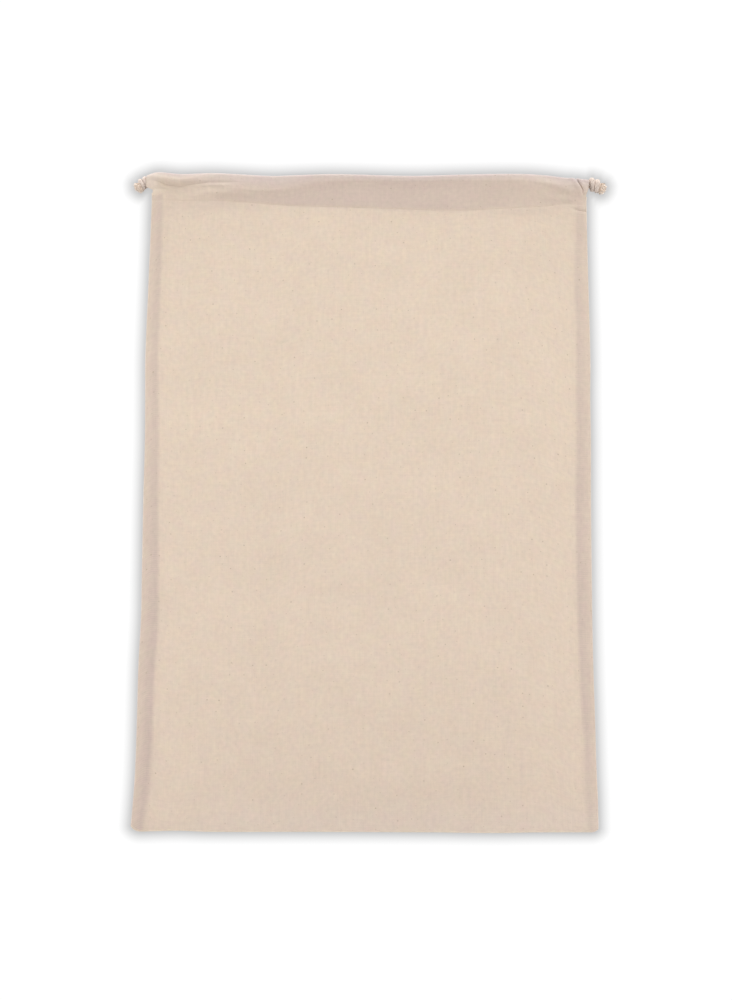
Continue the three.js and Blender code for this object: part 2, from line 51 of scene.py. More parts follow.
# The bag's shape in millimetres: one length of calico, hemmed at both ends over the cords, folded in half at
# the bottom and sewn up the sides, lying on its back with a little air in it
bag = Values({
    "halfWidth": 150.0, "halfLength": 225.0,
    "solidSide": 150.5,  # widest place of the solid
    "cloth": 0.6,  # thickness of the calico
    "bottom": [  # place across, rise of the bottom fold
        (-150, 0.2), (-132, 0.8), (-118, 1), (-104, 0.4), (-85, 0.3), (-45, 0.55), (0, 0.75), (30, 0.8),
        (50, 0.85), (65, 0.7), (90, 0.85), (104, 1.3), (120, 1.6), (150, 2.05),
    ],
    "cornerRounds": (7.5, 4.5),  # left, right
    "cornerLift": 0.6,  # height for width
    "rollRadius": 2.2,  # middle of the cloth round a cord
    "layersRadius": 0.4,  # half the distance of two layers
    "laneNear": 2.7,  # left cord, below the top edge
    "laneFar": 5.9,  # right cord
    "rollEnd": 7.2, "rollFade": 3.6,
    "casingRoll": [  # place across, depth of the crest, depths where the casing starts and ends to fall
        (-150, 4, 2, 10), (-141, 4.8, 3.5, 11.5), (-130, 5.2, 5, 13), (-116, 5.5, 5, 14), (-103, 10, 8, 20),
        (-87, 12.5, 10, 21), (-75, 12.5, 10, 21.5), (-60, 11.5, 9.5, 22), (-46, 10, 9, 23),
        (-24, 6.5, 7.5, 24), (0, 5.2, 7.2, 25), (50, 4.6, 7.2, 26), (64, 5.5, 7.2, 26), (105, 6, 7.2, 25),
        (125, 7, 7.2, 22), (145, 5, 6, 19), (150, 5, 6, 19),
    ],
    "crestRise": 0.035,  # slope from the cords to the crest
    "coverFall": 1.35,  # power of the fall to the stitches
    "coverEnd": 1.0,  # above the casing's line
    "frontRoll": 7.4,  # height of the front cords at the ends
    "mouthGap": 5.2,
    "mouthPower": 4,  # how squarely the mouth stands open
    "backDrop": 1.5,
    "hemEdge": 0.6,  # the hem's edge below the line that shows
    "stitchUp": 1.1,  # the hem's stitches above that line
    "stitchSink": 0.07,  # how deep they draw the cloth in
    "stitchReach": 0.9,
    "allowance": 9.0,  # seam allowance, turned in between the panels
    "allowanceTop": 13.0,  # it starts this far below the top edge
    "seamTurn": 0.375,  # radius of the turn along the side seam
    "seamApart": 2.3,  # from back to front at the sides
    "backRise": (20.0, 18.0, 8.0),  # from inside the seam, over, from below the top
    "sides": [  # height, left, right
        (-225, 149.8, 149.5), (-203, 148.6, 149.5), (-185, 148, 149), (-150, 148, 148.7),
        (-120, 148.2, 148.3), (-84, 147.5, 148.2), (-60, 147.9, 148.4), (0, 148.7, 149), (36, 148.9, 149.7),
        (70, 149.8, 149.9), (95, 150.5, 150.5), (150, 150, 150.1), (205, 149.3, 149.6),
        (212.5, 149.5, 149.9), (215, 149.7, 150.7), (216, 151.9, 151.2), (217, 153.6, 151.5),
        (221, 153.9, 151.8), (225, 153.4, 151.6),
    ],
    "backNeck": 149.5,  # the back casing's ends stay behind the front's
    "top": [  # place across, rise of the top edge, depth of the casing
        (-150, 0.6, 20), (-143, 2.7, 21.6), (-127, 0.9, 20.6), (-104, 1, 21.4), (-66, -1.2, 22.5),
        (-48, -0.5, 24.5), (-24, 0.4, 25.8), (30, -0.5, 26.4), (64, 0.8, 28), (104, 2, 26),
        (120, 1.5, 24.1), (134, 0.3, 20.6), (150, -0.2, 20),
    ],
    "loft": [  # share of the way up, height at the side, height at the middle
        (0, 2.4, 1.2), (0.03, 2.5, 3), (0.09, 2.6, 5.9), (0.25, 2.6, 10.4), (0.55, 2.6, 12.6),
        (0.88, 3.5, 13.6), (1, 7, 14),
    ],
    "loftPower": 3,  # how late the height falls towards the sides
    "swells": [  # place across, place up, reach across, reach up, height
        (-85, 75, 60, 30, -0.6), (30, 90, 75, 30, 0.5), (62, 25, 50, 30, -0.6), (-20, -80, 70, 35, -0.5),
        (85, -120, 45, 35, 0.5),
    ],
    "ripples": [(0.22, 46.0, 1.3, 3.7), (0.07, 17.0, 1.6, 8.1)],  # height, width, length for width, seed
    "rippleEdges": (9.0, 22.0, 40.0),  # flat at the sides, full over, full up
    "creases": [  # reach, then place across, depth below the top edge and height along the crease
        (1.9, [(-151, 1.6, 0.3), (-140, 5.7, 0.5), (-126, 5.8, 0.5), (-112, 3.6, 0.3), (-98, 2.5, 0)]),
        (1.25, [(-148, 4, -0.1), (-143, 6.8, -0.6), (-137, 9.2, -1.1), (-129, 9.8, -1.1), (-115, 8.3, -0.9),
                (-101, 7.7, -0.75), (-92, 7.2, -0.35), (-84, 6.6, 0)]),
        (4.5, [(-147, 13, 0), (-138, 13.5, -0.2), (-128, 13.5, -0.2), (-118, 12.5, 0)]),
        (2.8, [(-128, 15.4, 0), (-114, 15.2, 0.7), (-102, 15.2, 0.8), (-90, 15.2, 0.45), (-80, 15.4, 0)]),
        (2.1, [(106, 4.4, 0), (120, 6.2, 0.25), (131, 8.8, 0.5), (138, 10.2, 0.55), (142, 11.2, 0.1)]),
        (2.6, [(116, 17, 0), (124, 16.6, 0.4), (138, 16, 0.4), (144, 16, 0)]),
        (1.6, [(138.4, 1.5, 0.5), (142, 6.5, 0.6), (145.2, 11.5, 0.3), (147, 15, 0)]),
        (0.5, [(140.3, 0, -0.4), (142.5, 3.4, -1.4), (145.3, 7.8, -1.4), (147.3, 11, -0.7),
               (148.4, 12.8, 0)]),
        (1.1, [(141.8, -0.4, 0.2), (144.3, 3, 0.5), (147.2, 7.6, 0.3), (149.5, 11.4, 0.1),
               (150.8, 13.5, 0)]),
        (1.3, [(138, 22.2, 0), (144.5, 23.3, -0.5), (150.5, 24.3, -0.65)]),
        (1.2, [(141, 26, 0), (145.5, 26.6, 0.15), (150.5, 27.6, 0.2)]),
    ],
})
halfWidth = bag.halfWidth
halfLength = bag.halfLength
floorLayer = bag.cloth / 2
backRoll = floorLayer + bag.rollRadius
shift = Vector((bagHigh.x / mm - bag.solidSide, bagLow.y / mm + halfLength, 0.0))  # the part's own origin


def clamp(value, low=0.0, high=1.0):
    return min(high, max(low, value))


def smooth(value, start=0.0, over=1.0):  # from nought to one
    value = clamp((value - start) / over)
    return value * value * (3 - 2 * value)


def mix(a, b, share):
    return a + (b - a) * share


def spread(count, first, last):
    return [mix(first, last, i / (count - 1)) for i in range(count)]


def between(count, first, last):  # the same without both ends
    return spread(count + 2, first, last)[1:-1]


def fromRows(rows, at, column=1):  # smooth line through the rows
    last = len(rows) - 1
    at = clamp(at, rows[0][0], rows[last][0])
    i = next(n for n in range(last) if at <= rows[n + 1][0])
    around = [rows[clamp(n, 0, last)] for n in range(i - 1, i + 3)]
    (x0, y0), (x1, y1), (x2, y2), (x3, y3) = ((row[0], row[column]) for row in around)
    span, rise = x2 - x1, y2 - y1
    t = (at - x1) / span
    start = (y2 - y0) / (x2 - x0) * span
    end = (y3 - y1) / (x3 - x1) * span
    return mix(y1, y2, t) + t * (1 - t) * ((1 - t) * (start - rise) - t * (end - rise))


def sideColumn(x):  # of rows that hold left and right
    return 1 if x < 0 else 2


def topEdge(x):
    return halfLength + fromRows(bag.top, x)


def casingDepth(x):
    return fromRows(bag.top, x, 2)


def sideAt(x, y):
    return fromRows(bag.sides, y, sideColumn(x))


def place(x, y, z, widest=inf):  # from an even width to the frame, in metres
    return (Vector((x * min(sideAt(x, y), widest) / halfWidth, y, z)) + shift) * mm


def foldLine(x):  # it lifts into its rounded corners
    cornerRound = bag.cornerRounds[sideColumn(x) - 1]
    into = clamp((abs(x) - (halfWidth - cornerRound)) / cornerRound)
    lift = bag.cornerLift * cornerRound * (1 - sqrt(1 - into * into))
    return -halfLength + fromRows(bag.bottom, x) + lift


def rippleHeight(x, y):  # of cloth that was laid down by hand
    flat, over, up = bag.rippleEdges
    inside = smooth((halfWidth - flat - abs(x)) / over) * smooth((y + halfLength) / up)
    height = 0.0
    for rise, width, longer, seed in bag.ripples:
        height += rise * noise.noise(Vector((x / width, y / (longer * width), seed)))
    return inside * height


def panelHeight(x, share):
    edge, middle = (fromRows(bag.loft, share, column) for column in (1, 2))
    y = mix(foldLine(x), topEdge(x) - casingDepth(x), share)
    swell = rippleHeight(x, y)
    for placeX, placeY, reachX, reachY, height in bag.swells:
        swell += height * exp(-(((x - placeX) / reachX) ** 2) - ((y - placeY) / reachY) ** 2)
    return mix(middle, edge, (abs(x) / halfWidth) ** bag.loftPower) + swell


def backRise(x, below):  # at the seams the back comes up to the front
    inner, over, start = bag.backRise
    casing = casingDepth(x)
    share = clamp(1 - (below - casing) / (topEdge(x) - casing - foldLine(x)))
    apart = panelHeight(copysign(halfWidth, x), share) - floorLayer - bag.seamApart
    rise = max(apart, 0.0) * smooth((abs(x) - halfWidth + inner) / over)
    return rise * smooth(below, start, casing - start)


def creaseHeight(x, below):
    height = 0.0
    here = Vector((x, below))
    for reach, line in bag.creases:
        spots = []
        for start, end in zip(line, line[1:]):
            first = Vector(start[:2])
            along = Vector(end[:2]) - first
            share = clamp((here - first).dot(along) / along.length_squared)
            spots.append(((here - first - along * share).length, mix(start[2], end[2], share)))
        off, rise = min(spots, key=lambda spot: spot[0])
        height += rise * exp(-((off / reach) ** 2))
    return height


def layersApart(below):
    share = smooth(below, bag.rollEnd, bag.rollFade)
    return mix(bag.rollRadius, bag.layersRadius, share)


def casingCover(x, below):  # the front casing's outer layer above its middle
    crest = fromRows(bag.casingRoll, x)
    lane = bag.laneNear
    high = bag.rollRadius + bag.crestRise * (crest - lane)
    if below < crest:
        share = sin(pi / 2 * clamp((below - lane) / (crest - lane)))
        return mix(bag.rollRadius, high, share)
    down = clamp((below - crest) / (casingDepth(x) - bag.coverEnd - crest))
    return mix(bag.layersRadius, high, (1 - down) ** bag.coverFall)


def frontRollHeight(x):
    return bag.frontRoll + bag.mouthGap * (1 - clamp(abs(x) / halfWidth) ** bag.mouthPower)


def frontCasingHeight(x, below):
    stitched = panelHeight(x, 1) - bag.layersRadius
    start, end = (fromRows(bag.casingRoll, x, column) for column in (2, 3))
    return mix(frontRollHeight(x), stitched, smooth(below, start, end - start))


# Bag cloth: a fine sheet on the solid's section, with its allowances turned in
cloth = Values({
    "hemRows": 11, "turnRows": 9, "casingRows": 64, "panelRows": 60, "bottomRows": 7, "backRows": 28,
    "backCasingRows": 8, "middleColumns": 40, "turnColumns": 3, "allowanceColumns": 4,
    "casingOver": 6.0,  # fine rows below the casing
    "rowGap": 1.2,  # below them
    "sideColumns": 82,  # on each side, where the casing creases
    "sideZone": 42.0,
    "sidePower": 1.8,  # closer towards the seam
    "hemShort": 0.6,  # inside the allowances
    "creaseFade": 3.0,  # the creases end over this far
    "cutMiddle": 160.0,  # middle on the map of the cut
    "casingTones": [  # place across, how far the hem behind darkens the casing, with painted shade
        (-150, -0.4), (-146, -0.2), (-142, 0.1), (-138, 0.3), (-114, 0.3), (-101, 0.58), (-87, 0.69),
        (-60, 0.85), (-46, 0.92), (0, 0.93), (50, 0.92), (70, 0.82), (92, 0.68), (108, 0.58), (122, 0.53),
        (132, 0.6), (140, 0.62), (146, 0.42), (150, 0.3),
    ],
    "hemShows": 3.6,  # from above the casing's line
    "hemSoft": (6.2, 10.0, -105.0, -12.0),  # softness, more of it, past a place, over
    "underHem": [  # place across, painted shade, darker just below the casing
        (-150, 0.1), (-135, 0.3), (-110, 0.45), (-85, 0.3), (-60, 0.14), (70, 0.14), (90, 0.32),
        (120, 0.36), (135, 0.2), (150, 0.14),
    ],
    "underFrom": (5.0, 1.0),  # from above the casing's line, to below it
    "underReach": (9.0, 8.0, -108.0, -12.0),
    "rollTones": [  # place across, painted shade, darker where the cloth turns over the cords
        (-150, 1), (-120, 0.95), (-104, 0.4), (-60, 0.2), (20, 0.2), (60, 0.35), (110, 0.55), (125, 0.85),
        (140, 0.9), (150, 1.1),
    ],
    "rollFrom": 0.4,
    "rollReach": (3.8, 2.4, 135.0, 12.0),
    "bandTones": [  # height, how far the allowances behind darken the bands on the left and on the right
        (-225, 1.3, 0.6), (-200, 1.2, 0.78), (-170, 1.2, 0.95), (-65, 1.05, 1), (40, 0.85, 0.82),
        (150, 0.75, 0.64), (225, 0.6, 0.6),
    ],
    "bandWidths": [  # height, width of the band on the left and on the right
        (-222, 8.2, 6.4), (-204, 9.4, 7.8), (-170, 10.6, 7.6), (-135, 10.7, 8.7), (-101, 11.6, 9.5),
        (-40, 11, 10.3), (-2, 10, 10.4), (36, 9.4, 9.8), (104, 8.6, 9.4), (160, 8.6, 9.4), (187, 8, 7.6),
        (225, 8, 7.6),
    ],
    "bandSoft": (3.8, 2.2, -140.0, -60.0),
    "bandSeam": (0.5, 0.8),  # share at the seam, share of the width where full
    "bandBeyond": (0.14, 6.0),  # share inside the band, reach
    "bandStart": 5.0,  # fades in below the seam's top
    "lowerTones": [  # height, painted shade, darker towards the bottom
        (-225, 0.3), (-187, 0.26), (-152, 0.19), (-82, 0.14), (-12, 0.1), (60, 0), (225, 0),
    ],
    "fadedDepths": [  # place across, depth of the painted highlight on the roll
        (-150, 17), (-144, 14), (-138, 8), (-120, 8), (-105, 11), (-60, 11), (-30, 7), (90, 6.8),
        (125, 9.5), (150, 12),
    ],
    "fadedEdge": (0.2, 0.9),  # shares of that depth: from, over
    "rubbed": 0.45,  # how far painted light lightens the bottom fold
    "rubbedSides": (4.0, 12.0),  # from inside the seams, over
    "rubbedPale": (0.8, 2.0, 26.0),  # share of it that turns paler, height, over
    "rubbedLeft": (-125.0, 35.0),  # from this place across, over
})
hemKinds = ("hem", "backHem")
frontKinds = ("turn", "casing")


def clothRows(x):  # middle line of the cloth at one place across: kind, y, z, depth below the top edge
    top, casing, fold = topEdge(x), casingDepth(x), foldLine(x)
    lane, radius = bag.laneNear, bag.rollRadius
    hemEnd = casing + bag.hemEdge
    panelTop = top - casing
    panelLength = panelTop - fold
    backTop = top - bag.backDrop
    nearly = 0.01
    rows = []

    def addRow(kind, y, z):
        rows.append((kind, y, z, top - y))

    def addTurn(edge, height, kinds, middle):
        for angle in between(cloth.turnRows, -pi / 2, pi / 2):
            addRow(kinds[angle > middle], edge - lane + radius * cos(angle), height + radius * sin(angle))

    for below in spread(cloth.hemRows, hemEnd, lane):
        rows.append(("hem", top - below, frontCasingHeight(x, below) - layersApart(below), below))
    addTurn(top, frontRollHeight(x), ("hem", "turn"), -nearly)
    for below in spread(cloth.casingRows, lane, casing + cloth.casingOver):
        if below < casing:
            z = frontCasingHeight(x, below) + casingCover(x, below)
        else:
            z = panelHeight(x, 1 - (below - casing) / panelLength)
        z -= bag.stitchSink * exp(-(((below - casing + bag.stitchUp) / bag.stitchReach) ** 2))
        rows.append(("casing", top - below, z, below))
    upper = 1 - (cloth.casingOver + cloth.rowGap) / panelLength
    for t in spread(cloth.panelRows, 1, 0):  # closer together at both ends
        share = upper * (0.5 * t + 0.25 * (1 - cos(pi * t)))
        addRow("panel", mix(fold, panelTop, share), panelHeight(x, share))
    foldRadius = (panelHeight(x, 0) - floorLayer) / 2
    for angle in between(cloth.bottomRows, pi / 2, 3 * pi / 2):
        addRow("bottom", fold + foldRadius * cos(angle), floorLayer + foldRadius * (1 + sin(angle)))
    places = [("back", mix(fold, panelTop, share)) for share in spread(cloth.backRows, 0, upper)]
    casingPlaces = spread(cloth.backCasingRows + 1, places[-1][1], backTop - lane)[1:]
    for kind, y in places + [("backCasing", y) for y in casingPlaces]:
        addRow(kind, y, floorLayer + backRise(x, top - y))
    addTurn(backTop, backRoll, ("backTurn", "backHem"), nearly)
    for below in spread(cloth.hemRows, lane, hemEnd):
        rise = backRise(x, below + bag.backDrop)
        rows.append(("backHem", backTop - below, floorLayer + rise + 2 * layersApart(below), below))
    return rows


def outwardOf(rows, i):  # in y and z
    before = rows[max(i - 1, 0)]
    after = rows[min(i + 1, len(rows) - 1)]
    along = Vector((after[1] - before[1], after[2] - before[2])).normalized()
    return Vector((along.y, -along.x))


def clothColumns():  # place across, side, angle round the seam's turn, depth into the allowance
    edge = halfWidth - bag.seamTurn
    shares = spread(cloth.sideColumns, 0, 1)
    zone = [edge - cloth.sideZone * (1 - t) ** cloth.sidePower for t in shares]
    inner = between(cloth.middleColumns, -zone[0], zone[0])
    right = [(edge, 1, angle, 0) for angle in between(cloth.turnColumns, 0, pi)]
    for depth in spread(cloth.allowanceColumns, 0, bag.allowance):
        right.append((edge - depth, 1, pi, depth))
    left = [(-x, -1, angle, depth) for x, side, angle, depth in reversed(right)]
    return left + [(x, 0, 0, 0) for x in [-x for x in reversed(zone)] + inner + zone] + right


def widthAt(label, at):  # a width that grows past a place
    usual, more, *edge = cloth[label]
    return usual + more * smooth(at, *edge)


def clothTone(kind, x, y, below):  # how far the layers behind and painted shade darken it, or painted light lightens it, and the band's part
    if kind in hemKinds:
        return 1.0, 0.0
    past = below - casingDepth(x)
    casing = fromRows(cloth.casingTones, x)
    casing *= 1 - smooth((past + cloth.hemShows) / widthAt("hemSoft", x))
    # painted shade just below the casing
    first, full = cloth.underFrom
    under = smooth((past + first) / first) * (1 - smooth(past, full, widthAt("underReach", x)))
    if under:
        casing = max(casing, fromRows(cloth.underHem, x) * under)
    into = halfWidth - abs(x)
    width = fromRows(cloth.bandWidths, y, sideColumn(x))
    soft = widthAt("bandSoft", y)
    atSeam, fullAt = cloth.bandSeam
    beyond, reach = cloth.bandBeyond
    band = mix(atSeam, 1.0, smooth(into / (fullAt * width))) * (1 - smooth((into - width + soft / 2) / soft))
    band = max(band, beyond * (1 - smooth(into, width, reach)))
    band *= fromRows(cloth.bandTones, y, sideColumn(x))
    band *= smooth(below, bag.allowanceTop, cloth.bandStart)
    # painted light on the bottom fold
    if kind == "bottom":
        return -cloth.rubbed * smooth(into, *cloth.rubbedSides), band
    # painted shade on the roll over the cords
    if kind in frontKinds:
        roll = 1 - smooth(below, cloth.rollFrom, widthAt("rollReach", x))
        casing += fromRows(cloth.rollTones, x) * roll
    # painted shade, darker towards the bottom
    lower = fromRows(cloth.lowerTones, y)
    return max(casing, band, lower + band * (1 - lower)) + min(casing, 0.0), band


def clothPaintedLight(kind, x, below):  # painted highlight on the roll and painted light on the bottom fold, paler and bluer
    if kind in ("panel", "bottom"):
        pale, *edge = cloth.rubbedPale
        up = topEdge(x) - below + halfLength
        return pale * cloth.rubbed * (1 - smooth(up, *edge)) * smooth(x, *cloth.rubbedLeft)
    if kind not in frontKinds:
        return 0.0
    depth = fromRows(cloth.fadedDepths, x)
    start, over = cloth.fadedEdge
    return 1 - smooth(below, start * depth, over * depth)


def clothFaces(columns, kinds):  # the allowances start below the casing's roll, and the hems end inside them
    rowCount = len(kinds) // len(columns)
    hemSide = halfWidth - bag.allowance - cloth.hemShort
    faces = []
    for k, (one, other) in enumerate(zip(columns, columns[1:])):
        sewn = one[1] or other[1]
        outer = max(abs(one[0]), abs(other[0])) > hemSide
        for a in range(k * rowCount, (k + 1) * rowCount - 1):
            cell = {kinds[a][0], kinds[a + 1][0]}
            shallow = min(kinds[a][1], kinds[a + 1][1]) < bag.allowanceTop
            if outer and not cell.isdisjoint(hemKinds):
                continue
            if sewn and (shallow or cell & {"turn", "backTurn"}):
                continue
            faces.append((a, a + 1, a + rowCount + 1, a + rowCount))
    return faces


def newMesh(name, points, edges=(), faces=(), **values):  # the values are kept on its points
    mesh = bpy.data.meshes.new(name)
    mesh.from_pydata(points, edges, faces)
    for label, amounts in values.items():
        mesh.attributes.new(label, "FLOAT", "POINT").data.foreach_set("value", amounts)
    return mesh


def addToScene(name, data):
    made = bpy.data.objects.new(name, data)
    bpy.context.scene.collection.objects.link(made)
    return made


def keepPlain(piece):  # applies its modifiers
    bpy.context.view_layer.update()
    depsgraph = bpy.context.evaluated_depsgraph_get()
    plain = bpy.data.meshes.new_from_object(piece.evaluated_get(depsgraph), depsgraph=depsgraph)
    piece.modifiers.clear()
    piece.data = plain


def makeCloth(finish):
    columns = clothColumns()
    sections = {x: clothRows(x) for x in {column[0] for column in columns}}
    turn = bag.seamTurn
    points, cutPlaces, kinds = [], [], []
    # darkening by the layers behind and painted shade, the seams' bands, and painted light
    tones = {"layers": [], "seamBand": [], "faded": []}
    for x, side, angle, depth in columns:
        rows = sections[x]
        creaseEnd = casingDepth(x) + cloth.casingOver
        cutX = x + side * (turn * angle + 2 * depth) + cloth.cutMiddle
        cutY = 0.0
        for i, (kind, y, z, below) in enumerate(rows):
            if i:
                cutY += hypot(y - rows[i - 1][1], z - rows[i - 1][2])
            outward = outwardOf(rows, i)
            lift = -turn * (1 - cos(angle)) if side else 0.0
            if kind in frontKinds:
                lift += creaseHeight(x, below) * smooth((creaseEnd - below) / cloth.creaseFade)
            across = x + side * turn * sin(angle)
            widest = bag.backNeck if kind in ("backCasing", "backTurn", "backHem") else inf
            points.append(place(across, y + lift * outward.x, z + lift * outward.y, widest))
            cutPlaces.append((cutX * mm, cutY * mm))
            kinds.append((kind, below))
            values = (*clothTone(kind, x, y, below), clothPaintedLight(kind, x, below))
            for label, value in zip(tones, values):
                tones[label].append(value)
    faces = clothFaces(columns, kinds)
    used = sorted({corner for face in faces for corner in face})
    renumbered = {old: new for new, old in enumerate(used)}
    faces = [tuple(renumbered[n] for n in face) for face in faces]
    kept = {label: [values[n] for n in used] for label, values in tones.items()}
    mesh = newMesh("bagCloth", [points[n] for n in used], faces=faces, **kept)
    cut = mesh.uv_layers.new(name="cut")
    for loop in mesh.loops:
        cut.data[loop.index].uv = cutPlaces[used[loop.vertex_index]]
    mesh.shade_smooth()
    piece = addToScene("bagCloth", mesh)
    thicken = piece.modifiers.new("thickness", "SOLIDIFY")
    thicken.thickness = bag.cloth * mm
    thicken.offset = 0.0
    keepPlain(piece)
    piece.data.materials.clear()
    piece.data.materials.append(finish)
    return piece


# Drawcords: six-strand cotton cords on the routes of the solids, knotted at the corners
cord = Values({
    "radius": 1.3, "strands": 6, "strandRadius": 0.54, "strandSides": 7, "twistLength": 11.0,
    "step": 0.7,  # along the strands
    "lanePoints": 70, "bendPoints": 7,
    "neck": (-2.4, 1.5),  # towards the lane: along the knot, up
    "axisSteps": 24, "turnPoints": 12, "knotTurns": 1.75, "knotHeight": 5.0,
    "knotEase": 0.8,  # the winding starts sooner and ends later
    "easeTurns": 0.4,
    "tail": 0.3,
    "tailApart": 6.0,  # degrees
    "tailAway": 0.2,
    "swollen": (1.0, 6.0),  # swelling ends: from inside the knot, over
    "frayStart": 0.9,  # before the knot's end
    "knots": {  # side, away, below the top, turned down at the bag and the tip, pitch, radius, swelling
        "left": (-1, 0.0, 3.6, 16.0, 58.0, 2.7, 2.7, 1.2),
        "right": (1, 1.0, 2.4, 8.0, 32.0, 3.3, 3.0, 1.5),
    },
})


def throughPoints(points, step):  # smooth line through points, at even steps
    ends = [2 * points[0] - points[1], *points, 2 * points[-1] - points[-2]]
    line = []
    for four in zip(ends, ends[1:], ends[2:], ends[3:]):
        gaps = [(b - a).length for a, b in zip(four, four[1:])]
        knots = [0.0]
        for gap in gaps:
            knots.append(knots[-1] + sqrt(gap))
        count = max(2, round(gaps[1] / step))
        for n in range(count):
            t = mix(knots[1], knots[2], n / count)
            near = four
            for reach in (1, 2):
                pairs = zip(near, near[1:], knots, knots[reach:])
                near = [p.lerp(q, (t - a) / (b - a)) for p, q, a, b in pairs]
            line.append(near[0].lerp(near[1], (t - knots[1]) / (knots[2] - knots[1])))
    return line + [points[-1]]


def cordRoute(which):  # points, their swelling, place and way of the frayed end
    side, away, below, downFirst, downLast, pitch, woundRadius, girth = cord.knots[which]
    corner = side * halfWidth
    start = Vector((side * (sideAt(corner, halfLength) + away), topEdge(corner) - below, cord.knotHeight))
    lane = bag["laneNear" if side < 0 else "laneFar"]
    turns = cord.knotTurns
    knotLength = turns * pitch
    knotEnd = knotLength + cord.radius
    tailEnd = knotEnd + cord.tail
    lean = tan(radians(cord.tailApart)) * cord.tail

    def axisAt(along):  # the knot's bent axis: place and direction
        point = start.copy()
        count = cord.axisSteps
        for n in range(count):
            down = radians(mix(downFirst, downLast, clamp(along * (n + 0.5) / count / knotEnd)))
            axis = Vector((side * cos(down), -sin(down), 0))
            point += axis * (along / count)
        return point, axis

    def onKnot(along, sideways=0, up=0):
        point, axis = axisAt(along)
        return point + Vector((0, 0, 1)).cross(axis) * (side * sideways) + Vector((0, 0, up))

    def inLane(x, front):
        y = topEdge(x) - lane - (0 if front else bag.backDrop)
        return Vector((x * sideAt(x, y) / halfWidth, y, frontCasingHeight(x, lane) if front else backRoll))

    allowance = bag.allowance
    places = spread(cord.lanePoints, side * (halfWidth - allowance / 2), -side * (halfWidth - allowance))
    frontLane = [inLane(x, True) for x in places]
    backLane = [inLane(x, False) for x in reversed(places)]
    middle = (frontLane[-1] + backLane[0]) / 2
    bendRadius = (frontLane[-1] - middle).length
    bend = []
    for angle in between(cord.bendPoints, 0, pi):
        point = middle.lerp(frontLane[-1], cos(angle))
        point.x -= side * bendRadius * sin(angle)
        bend.append(point)
    neckAlong, neckUp = cord.neck
    core = [onKnot(tailEnd, lean)] + [onKnot(along) for along in (knotEnd, knotLength / 2, 0)]
    core.append(onKnot(neckAlong, 0, neckUp))
    wound = []
    for i in range(round(turns * cord.turnPoints) + 1):
        turned = i / cord.turnPoints
        easeIn = 1 - smooth(turned / cord.easeTurns)
        easeOut = smooth((turned - turns) / cord.easeTurns + 1)
        angle = 2 * pi * turned - pi / 2
        along = turned * pitch + cord.knotEase * (easeOut - easeIn)
        wound.append(onKnot(along, woundRadius * cos(angle), woundRadius * sin(angle)))
    lastTail = onKnot(tailEnd, -woundRadius - cord.tailAway - lean)
    route = throughPoints(core + frontLane + bend + backLane + wound + [lastTail], cord.step)
    inner, over = cord.swollen
    girths = [mix(girth, 1.0, smooth((side * start.x + inner - side * point.x) / over)) for point in route]
    return route, girths, axisAt(knotEnd - cord.frayStart)


